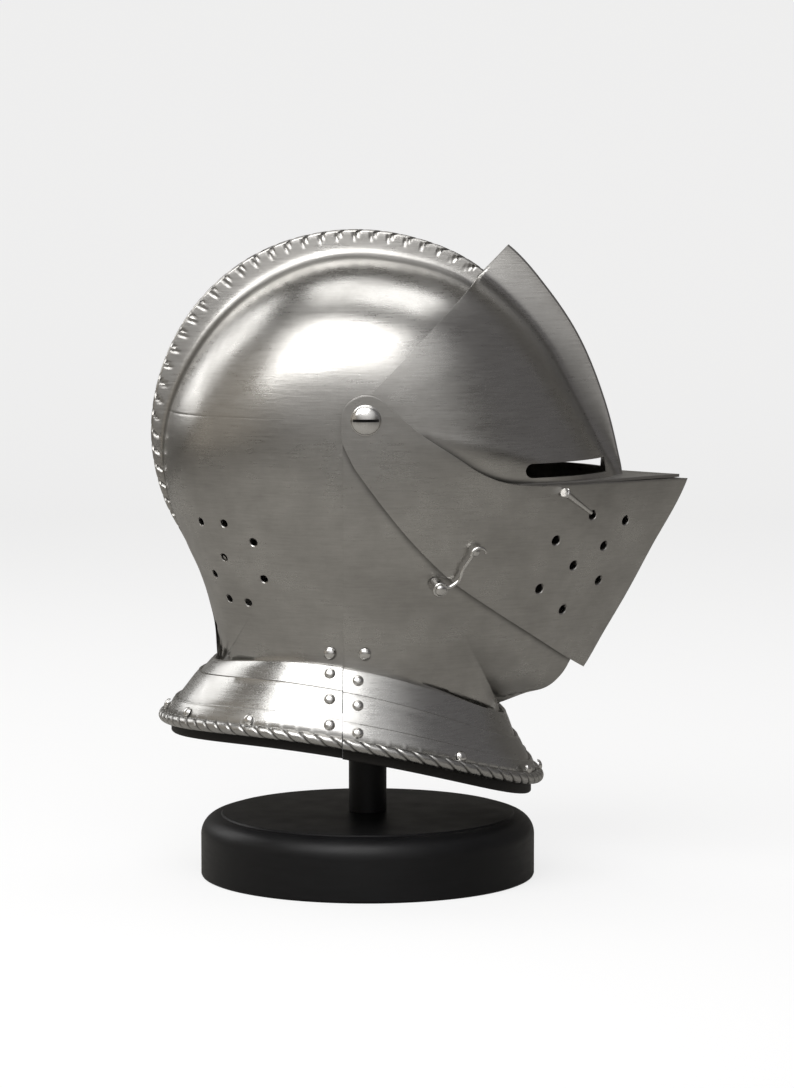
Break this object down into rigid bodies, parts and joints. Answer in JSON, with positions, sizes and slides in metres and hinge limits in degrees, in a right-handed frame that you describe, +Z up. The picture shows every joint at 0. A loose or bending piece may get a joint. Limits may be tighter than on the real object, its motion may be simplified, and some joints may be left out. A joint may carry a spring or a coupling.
{
  "type": "close helmet with display stand",
  "caption": "Steel close helmet with roped comb, pivoting visor, ventail and bevor, laminated neck with roped rim, on a plain round display stand.",
  "frame": {"origin": "centre of the display base's underside, on the surface it stands on", "axes": "+X towards the face, +Z up, the wearer's right side is -Y"},
  "size_m": [0.3209, 0.2212, 0.3882],
  "materials": {
    "plate_steel": "satin brushed steel",
    "lame_steel": "satin steel brushed along the plate",
    "bright_steel": "polished steel",
    "lining_leather": "black leather",
    "stand_wood": "satin black paint on turned wood"
  },
  "bodies": {
    "helm": {"skull": "plate_steel", "nape_lame_1": "lame_steel", "nape_lame_2": "lame_steel", "nape_lame_3": "lame_steel", "nape_lining": "lining_leather", "pivot_screw_right": "bright_steel", "pivot_screw_left": "bright_steel", "stand_base": "stand_wood", "stand_post": "stand_wood", "skull_rivet_right": "bright_steel", "skull_rivet_left": "bright_steel", "nape_seam_rivet_1_right": "bright_steel", "nape_seam_rivet_1_left": "bright_steel", "nape_seam_rivet_2_right": "bright_steel", "nape_seam_rivet_2_left": "bright_steel", "nape_seam_rivet_3_right": "bright_steel", "nape_seam_rivet_3_left": "bright_steel", "nape_lining_rivet_1_right": "bright_steel", "nape_lining_rivet_1_left": "bright_steel", "nape_lining_rivet_2_right": "bright_steel", "nape_lining_rivet_2_left": "bright_steel", "nape_lining_rivet_3_middle": "bright_steel"},
    "bevor": {"bevor": "plate_steel", "gorget_lame_1": "lame_steel", "gorget_lame_2": "lame_steel", "gorget_lame_3": "lame_steel", "gorget_lining": "lining_leather", "hook_rivet": "bright_steel", "bevor_rivet_right": "bright_steel", "bevor_rivet_left": "bright_steel", "gorget_seam_rivet_1_right": "bright_steel", "gorget_seam_rivet_1_left": "bright_steel", "gorget_seam_rivet_2_right": "bright_steel", "gorget_seam_rivet_2_left": "bright_steel", "gorget_seam_rivet_3_right": "bright_steel", "gorget_seam_rivet_3_left": "bright_steel", "gorget_lining_rivet_1_middle": "bright_steel", "gorget_lining_rivet_2_right": "bright_steel", "gorget_lining_rivet_2_left": "bright_steel", "gorget_lining_rivet_3_right": "bright_steel", "gorget_lining_rivet_3_left": "bright_steel"},
    "ventail": {"ventail": "plate_steel", "hook_stud": "bright_steel", "lifting_peg": "bright_steel"},
    "visor": {"visor": "plate_steel"},
    "hook": {"latch_hook": "bright_steel"}
  },
  "joints": [
    {"name": "bevor_pivot", "type": "hinge", "parent": "helm", "child": "bevor", "pos_m": [0, 0, 0.28], "axis": [0, -1, 0], "range_deg": [0, 25]},
    {"name": "ventail_pivot", "type": "hinge", "parent": "bevor", "child": "ventail", "pos_m": [0, 0, 0.28], "axis": [0, -1, 0], "range_deg": [0, 20]},
    {"name": "visor_pivot", "type": "hinge", "parent": "ventail", "child": "visor", "pos_m": [0, 0, 0.28], "axis": [0, -1, 0], "range_deg": [0, 35]},
    {"name": "hook_swivel", "type": "hinge", "parent": "bevor", "child": "hook", "pos_m": [0.03969, -0.08573, 0.18435], "axis": [0.3516, -0.8857, -0.3033], "range_deg": [0, 90]}
  ]
}
